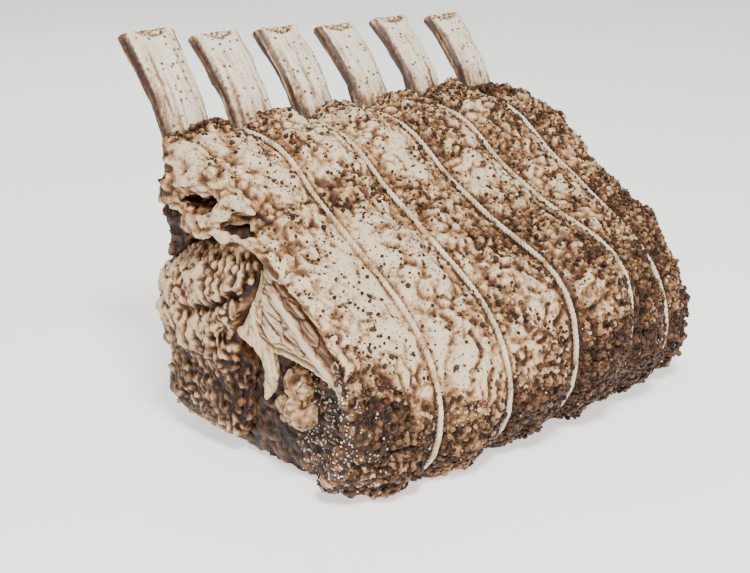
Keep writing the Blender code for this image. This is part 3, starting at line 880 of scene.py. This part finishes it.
def make_seasoning(meat):
    """Strew pepper, crust beads and salt over the roast."""
    outer = surface_of([meat["fat"], meat["back"]])
    inner = surface_of([meat["eye"], meat["cap"], meat["seam"], meat["lower"]])
    skin = [np.concatenate(pair) for pair in zip(outer, inner)]
    dark_parts = surface_of([meat["lower"], meat["eye"], meat["fat"]])
    beads = [small_shape(k, **BEAD) for k in range(SHAPES_OF_A_KIND)]
    shards = [small_shape(SHARD_SEED + k, **SHARD) for k in range(SHAPES_OF_A_KIND)]

    points, normals, _, brown = skin
    x, y, z = points.T
    clear = ramp(from_strings(points), 1.2, 3.2) * ramp(z, 3.0, 7.0)
    clear[len(outer[0]):] *= 0.7 * ramp(inner[0][:, 0], -125.0, -105.0)
    carved = ramp(-normals[:, 0], 0.35, 0.6) * ramp(x, -135.0, -145.0)
    flap = ramp(x, -125.0, -150.0) * ramp(z, 128.0, 140.0) * ramp(y, 52.0, 44.0)
    collar = bell(from_ribs(points), 16.0) * ramp(y, 42.0, 56.0) * ramp(z, 150.0, 165.0)
    patches = ramp(noise_at(points, 15.0, 101), -0.25, 0.5)
    far_inner = ramp(x, 116.0, 140.0) * (np.arange(len(x)) >= len(outer[0]))
    crusted = (ramp(brown, 0.36, 0.8) + 0.9 * collar + 1.4 * far_inner + 0.05 * patches) * clear
    crusted *= (1.0 - 0.9 * flap) * (1.0 - carved)
    open_skin = (0.25 + patches) * clear * (1.0 - 0.4 * flap) * (1.0 - 0.8 * carved)
    peppered = 0.3 * open_skin + crusted

    pieces = {
        "crust": strew("crust_beads", beads, skin, crusted),
        "crumbs": strew("crust_crumbs", shards, skin, crusted),
        "pepper": strew("cracked_pepper", shards, skin, open_skin),
        "corns": strew("peppercorns", beads, skin, peppered),
    }
    points, normals, _, _ = dark_parts
    x, y, z = points.T
    recess = ramp(-normals[:, 0], 0.3, 0.7) * ramp(z, 84.0, 76.0) * ramp(x, -136.0, -142.0)
    recess *= ramp(-y, 34.0, 44.0)
    low = ramp(z, 58.0, 20.0) * ramp(-y, 60.0, 80.0)
    salted = (recess + 0.1 * low) * ramp(z, 3.0, 7.0)
    pieces["salt"] = strew("salt_flakes", shards, dark_parts, salted)
    for piece in pieces.values():
        ride(piece, "fat_crust")
    return pieces


# ============================================================
# Finishes
# ============================================================
def new_finish(name):
    """Return a new material, its nodes and its shader."""
    finish = bpy.data.materials.new(name)
    finish.use_nodes = True
    tree = finish.node_tree
    return finish, tree, tree.nodes["Principled BSDF"]


def add(tree, kind, links=None, **settings):
    """Add a node, set it and link its inputs."""
    node = tree.nodes.new(kind)
    for key, value in settings.items():
        if key.startswith("in_"):
            node.inputs[int(key[3:])].default_value = value
        else:
            setattr(node, key, value)
    for socket, source in (links or {}).items():
        tree.links.new(source, node.inputs[socket])
    return node


def attribute(tree, name):
    """Return a value stored at the vertices."""
    return add(tree, "ShaderNodeAttribute", attribute_name=name).outputs["Fac"]


def speckle(tree, size, detail=3.0, stretch=(1.0, 1.0, 1.0), turn=(0.0, 0.0, 0.0)):
    """Return noise with spots of the given size in millimetres."""
    place = add(tree, "ShaderNodeTexCoord").outputs["Object"]
    mapping = add(tree, "ShaderNodeMapping", {"Vector": place})
    mapping.inputs["Rotation"].default_value = turn
    mapping.inputs["Scale"].default_value = stretch
    texture = add(tree, "ShaderNodeTexNoise", {"Vector": mapping.outputs[0]})
    texture.inputs["Scale"].default_value = 1.0 / (size * MM)
    texture.inputs["Detail"].default_value = detail
    texture.inputs["Roughness"].default_value = 0.6
    return texture.outputs["Fac"]


def dots(tree, spacing, radius):
    """Return 1 inside small scattered dots, and 0 elsewhere."""
    place = add(tree, "ShaderNodeTexCoord").outputs["Object"]
    texture = add(tree, "ShaderNodeTexVoronoi", {"Vector": place})
    texture.inputs["Scale"].default_value = 1.0 / (spacing * MM)
    edge = add(tree, "ShaderNodeMapRange", {"Value": texture.outputs["Distance"]})
    edge.inputs["From Min"].default_value = radius * 1.3
    edge.inputs["From Max"].default_value = radius * 0.8
    return edge.outputs["Result"]


def scaled(tree, value, low, high, start=0.0, end=1.0):
    """Return a value brought from one range into another."""
    node = add(tree, "ShaderNodeMapRange", {"Value": value}, clamp=False)
    node.inputs["From Min"].default_value = start
    node.inputs["From Max"].default_value = end
    node.inputs["To Min"].default_value = low
    node.inputs["To Max"].default_value = high
    return node.outputs["Result"]


def total(tree, *values):
    """Return the sum of some values."""
    result = values[0]
    for value in values[1:]:
        result = add(tree, "ShaderNodeMath", {0: result, 1: value}, operation="ADD").outputs[0]
    return result


def colours(tree, value, stops):
    """Return the colour for a value, from a ramp."""
    node = add(tree, "ShaderNodeValToRGB", {"Fac": value})
    elements = node.color_ramp.elements
    while len(elements) < len(stops):
        elements.new(0.5)
    for element, (place, colour) in zip(elements, stops):
        element.position = place
        element.color = (*colour, 1.0)
    return node.outputs["Color"]


def blended(tree, amount, first, second):
    """Return a mix of two colours."""
    node = add(tree, "ShaderNodeMix", data_type="RGBA")
    tree.links.new(amount, node.inputs["Factor"])
    for socket, colour in (("A", first), ("B", second)):
        target = [s for s in node.inputs if s.name == socket and s.type == "RGBA"][0]
        if isinstance(colour, tuple):
            target.default_value = (*colour, 1.0)
        else:
            tree.links.new(colour, target)
    return [s for s in node.outputs if s.type == "RGBA"][0]


def bumped(tree, shader, *layers):
    """Raise the surface by values, each with its depth in millimetres."""
    normal = None
    for value, depth in layers:
        node = add(tree, "ShaderNodeBump", {"Height": value})
        node.inputs["Strength"].default_value = 1.0
        node.inputs["Distance"].default_value = depth * MM
        if normal is not None:
            tree.links.new(normal, node.inputs["Normal"])
        normal = node.outputs["Normal"]
    tree.links.new(normal, shader.inputs["Normal"])


def meat_finish(name, stops, mottle=0.3, dot_colour=None, gloss=(0.36, 0.62), grain=None, soft=0.0):
    """Return the finish of a roasted surface, from pale to dark, by how brown it has become and how much
    shade is painted on it.
    """
    finish, tree, shader = new_finish(name)
    brown = attribute(tree, "browning")
    crevice = attribute(tree, "crevice")
    # Painted shade: the relief value darkens crevices and pales ridges.
    tone = total(tree, brown, scaled(tree, crevice, -0.1, 0.46),
                 scaled(tree, speckle(tree, 11.0), -mottle, mottle, 0.3, 0.7),
                 scaled(tree, speckle(tree, 2.6), -mottle, mottle, 0.3, 0.7),
                 scaled(tree, speckle(tree, 0.9), -0.5 * mottle, 0.5 * mottle, 0.3, 0.7))
    if grain:
        fibres = speckle(tree, 2.0, 4.0, grain[0], grain[1])
        tone = total(tree, tone, scaled(tree, fibres, -0.2, 0.2, 0.3, 0.7))
    colour = colours(tree, tone, stops)
    if dot_colour:
        colour = blended(tree, dots(tree, 2.6, 0.17), colour, dot_colour)
    tree.links.new(colour, shader.inputs["Base Color"])
    tree.links.new(scaled(tree, speckle(tree, 4.0), gloss[0], gloss[1]), shader.inputs["Roughness"])
    shader.inputs["Specular IOR Level"].default_value = 0.32
    if soft:
        shader.inputs["Subsurface Weight"].default_value = soft
        shader.inputs["Subsurface Scale"].default_value = 3.0 * MM
    bumped(tree, shader, (speckle(tree, 1.6, 4.0), 0.5), (speckle(tree, 0.6, 2.0), 0.16))
    return finish


PALE_FAT = (0.78, 0.61, 0.40)
GOLDEN_FAT = (0.45, 0.26, 0.115)
BROWN_FAT = (0.19, 0.079, 0.028)
DARK_CRUST = (0.068, 0.023, 0.0075)
BLACK_CRUST = (0.024, 0.008, 0.003)
PEPPER_DUST = (0.06, 0.03, 0.015)
BONE_PORE = (0.12, 0.06, 0.03)
WARM_WHITE = (1.0, 0.985, 0.96, 1.0)

# Each list runs from pale to dark: how brown, with any painted shade, and the colour there.
FAT_TONES = (
    (0.0, PALE_FAT), (0.28, GOLDEN_FAT), (0.52, BROWN_FAT), (0.75, DARK_CRUST), (1.0, BLACK_CRUST))
EYE_TONES = (
    (0.0, (0.66, 0.48, 0.29)), (0.26, (0.32, 0.17, 0.075)), (0.5, (0.13, 0.052, 0.019)),
    (0.75, (0.05, 0.018, 0.007)), (1.0, (0.018, 0.007, 0.003)))
CAP_TONES = (
    (0.0, (0.78, 0.62, 0.42)), (0.28, (0.47, 0.28, 0.15)), (0.55, (0.2, 0.09, 0.042)),
    (0.85, (0.06, 0.024, 0.011)))
SEAM_TONES = (
    (0.0, (0.76, 0.60, 0.39)), (0.35, (0.50, 0.32, 0.16)), (0.65, (0.22, 0.11, 0.042)),
    (1.0, (0.06, 0.025, 0.01)))
LEAN_TONES = (
    (0.0, (0.26, 0.135, 0.06)), (0.3, (0.10, 0.042, 0.017)), (0.6, (0.038, 0.014, 0.006)),
    (0.9, (0.016, 0.007, 0.004)))
BONE_TONES = (
    (0.0, (0.88, 0.79, 0.62)), (0.28, (0.66, 0.50, 0.31)), (0.52, (0.28, 0.15, 0.065)),
    (0.75, (0.1, 0.042, 0.017)), (1.0, (0.035, 0.015, 0.008)))
TWINE_TONES = ((0.34, (0.86, 0.77, 0.60)), (0.54, (0.72, 0.56, 0.35)), (0.68, (0.30, 0.16, 0.07)))

# The grains' lists run from dark to pale.
BEAD_TONES = (
    (0.0, (0.022, 0.009, 0.005)), (0.3, (0.10, 0.042, 0.016)), (0.6, (0.34, 0.19, 0.085)),
    (1.0, (0.74, 0.56, 0.35)))
CRUMB_TONES = (
    (0.0, (0.02, 0.009, 0.005)), (0.45, (0.07, 0.03, 0.012)), (0.75, (0.26, 0.13, 0.055)),
    (1.0, (0.70, 0.53, 0.33)))
PEPPER_TONES = ((0.0, (0.02, 0.012, 0.008)), (0.7, (0.07, 0.035, 0.018)), (1.0, (0.22, 0.12, 0.06)))
PEPPERCORN_TONES = ((0.0, (0.022, 0.013, 0.009)), (1.0, (0.09, 0.045, 0.022)))
SALT_TONES = ((0.0, (0.62, 0.52, 0.40)), (1.0, (0.90, 0.86, 0.78)))


def make_finishes():
    """Return every finish by name."""
    strip_turn = (math.radians(-28.0), 0.0, 0.0)
    strip_stretch = (1.0, 0.12, 1.0)
    return {
        "fat": meat_finish("roasted fat", FAT_TONES, 0.16, PEPPER_DUST, soft=0.06),
        "eye": meat_finish("seared eye", EYE_TONES, 0.14, gloss=(0.26, 0.5)),
        "cap": meat_finish("roasted cap muscle", CAP_TONES, 0.08, grain=(strip_stretch, strip_turn)),
        "seam": meat_finish("rendered fat", SEAM_TONES, 0.14, gloss=(0.28, 0.5), soft=0.1),
        "lean": meat_finish("browned lean", LEAN_TONES, 0.16),
        "bone": bone_finish(),
        "twine": twine_finish(),
        "crust": grain_finish("crust beads", BEAD_TONES, (0.3, 0.55)),
        "crumbs": grain_finish("crust crumbs", CRUMB_TONES, (0.35, 0.65)),
        "pepper": grain_finish("cracked pepper", PEPPER_TONES, (0.45, 0.7)),
        "corns": grain_finish("peppercorns", PEPPERCORN_TONES, (0.35, 0.6)),
        "salt": grain_finish("salt flakes", SALT_TONES, (0.2, 0.4)),
    }


def bone_finish():
    """Return the finish of a scraped and roasted bone."""
    finish, tree, shader = new_finish("scraped bone")
    along = (1.0, 1.0, 0.07)
    lines = speckle(tree, 1.5, 4.0, along)
    streaks = speckle(tree, 6.0, 3.0, (1.0, 1.0, 0.2))
    # Painted shade: the relief value darkens crevices and pales ridges.
    tone = total(tree, attribute(tree, "browning"), scaled(tree, attribute(tree, "crevice"), -0.1, 0.4),
                 scaled(tree, lines, -0.4, 0.4), scaled(tree, streaks, -0.22, 0.22))
    colour = blended(tree, dots(tree, 5.0, 0.2), colours(tree, tone, BONE_TONES), BONE_PORE)
    tree.links.new(colour, shader.inputs["Base Color"])
    tree.links.new(scaled(tree, streaks, 0.35, 0.65), shader.inputs["Roughness"])
    bumped(tree, shader, (lines, 0.35), (speckle(tree, 0.7, 2.0), 0.12))
    return finish


def twine_finish():
    """Return the finish of cotton twine, stained by fat and juices."""
    finish, tree, shader = new_finish("stained twine")
    stain = speckle(tree, 14.0)
    fuzz = speckle(tree, 0.5, 2.0)
    tone = total(tree, stain, scaled(tree, fuzz, -0.12, 0.12))
    tree.links.new(colours(tree, tone, TWINE_TONES), shader.inputs["Base Color"])
    shader.inputs["Roughness"].default_value = 0.85
    shader.inputs["Sheen Weight"].default_value = 0.2
    bumped(tree, shader, (fuzz, 0.15))
    return finish


def grain_finish(name, stops, gloss):
    """Return the finish of scattered grains, each with a tone of its own."""
    finish, tree, shader = new_finish(name)
    fine = speckle(tree, 0.9, 2.0)
    tone = total(tree, attribute(tree, "tone"), scaled(tree, fine, -0.25, 0.25))
    tree.links.new(colours(tree, tone, stops), shader.inputs["Base Color"])
    tree.links.new(scaled(tree, fine, gloss[0], gloss[1]), shader.inputs["Roughness"])
    shader.inputs["Specular IOR Level"].default_value = 0.25
    bumped(tree, shader, (fine, 0.2))
    return finish


def floor_finish():
    """Return the finish of a plain pale floor."""
    finish, tree, shader = new_finish("pale floor")
    shade = speckle(tree, 400.0, 1.0)
    tree.links.new(colours(tree, shade, FLOOR_TONES), shader.inputs["Base Color"])
    shader.inputs["Roughness"].default_value = 0.9
    shader.inputs["Specular IOR Level"].default_value = 0.1
    shader.inputs["Emission Color"].default_value = WARM_WHITE
    shader.inputs["Emission Strength"].default_value = 1.0
    return finish


# ============================================================
# The stage
# ============================================================
FLOOR_SIZE = 14.0
FLOOR_TONES = ((0.0, (0.90, 0.89, 0.87)), (1.0, (0.93, 0.92, 0.90)))
LIGHT_TARGET = (0.0, 0.0, 0.09)
ROOM_STRENGTH = 0.28

# Each light: its name, place, size and power in watts.
LIGHTS = (
    ("key light", (-0.6, -0.8, 1.4), 0.35, 40.0),
    ("fill light", (1.0, -1.1, 0.7), 1.0, 6.0),
    ("rim light", (0.5, 1.2, 1.1), 0.8, 8.0),
)


def make_stage():
    """Lay the floor, and set the camera and the lights."""
    bpy.ops.object.select_all(action="DESELECT")
    bpy.ops.mesh.primitive_plane_add(size=FLOOR_SIZE, location=(0.0, 0.0, 0.0))
    floor = bpy.context.view_layer.objects.active
    floor.name = "floor"
    floor.data.materials.append(floor_finish())

    lens = bpy.data.cameras.new("camera")
    lens.lens = CAMERA_LENS
    camera = bpy.data.objects.new("camera", lens)
    camera.location = Vector(CAMERA_PLACE) * MM
    camera.rotation_euler = Vector(CAMERA_LOOK).to_track_quat("-Z", "Y").to_euler()
    bpy.context.scene.collection.objects.link(camera)
    bpy.context.scene.camera = camera

    for name, place, size, power in LIGHTS:
        lamp = bpy.data.lights.new(name, "AREA")
        lamp.size = size
        lamp.energy = power
        light = bpy.data.objects.new(name, lamp)
        light.location = place
        aim = Vector(LIGHT_TARGET) - Vector(place)
        light.rotation_euler = aim.to_track_quat("-Z", "Y").to_euler()
        bpy.context.scene.collection.objects.link(light)

    world = bpy.data.worlds.new("soft white room")
    world.use_nodes = True
    background = world.node_tree.nodes["Background"]
    background.inputs["Color"].default_value = WARM_WHITE
    background.inputs["Strength"].default_value = ROOM_STRENGTH
    bpy.context.scene.world = world


# ============================================================
# The roast
# ============================================================
MEAT_FINISHES = {
    "fat": "fat", "eye": "eye", "cap": "cap", "seam": "seam", "nugget": "seam", "back": "lean",
    "lower": "lean",
}


def coat(piece, finish):
    """Give a piece its finish."""
    piece.data.materials.clear()
    piece.data.materials.append(finish)


def main():
    """Set the stage and build the whole roast."""
    make_stage()
    finishes = make_finishes()
    meat = make_meat()
    for name, finish in MEAT_FINISHES.items():
        coat(meat[name], finishes[finish])
    for index in range(RIB_COUNT):
        coat(make_rib(index), finishes["bone"])
    for index in range(STRING_COUNT):
        coat(make_string(index), finishes["twine"])
    for name, piece in make_seasoning(meat).items():
        coat(piece, finishes[name])


main()
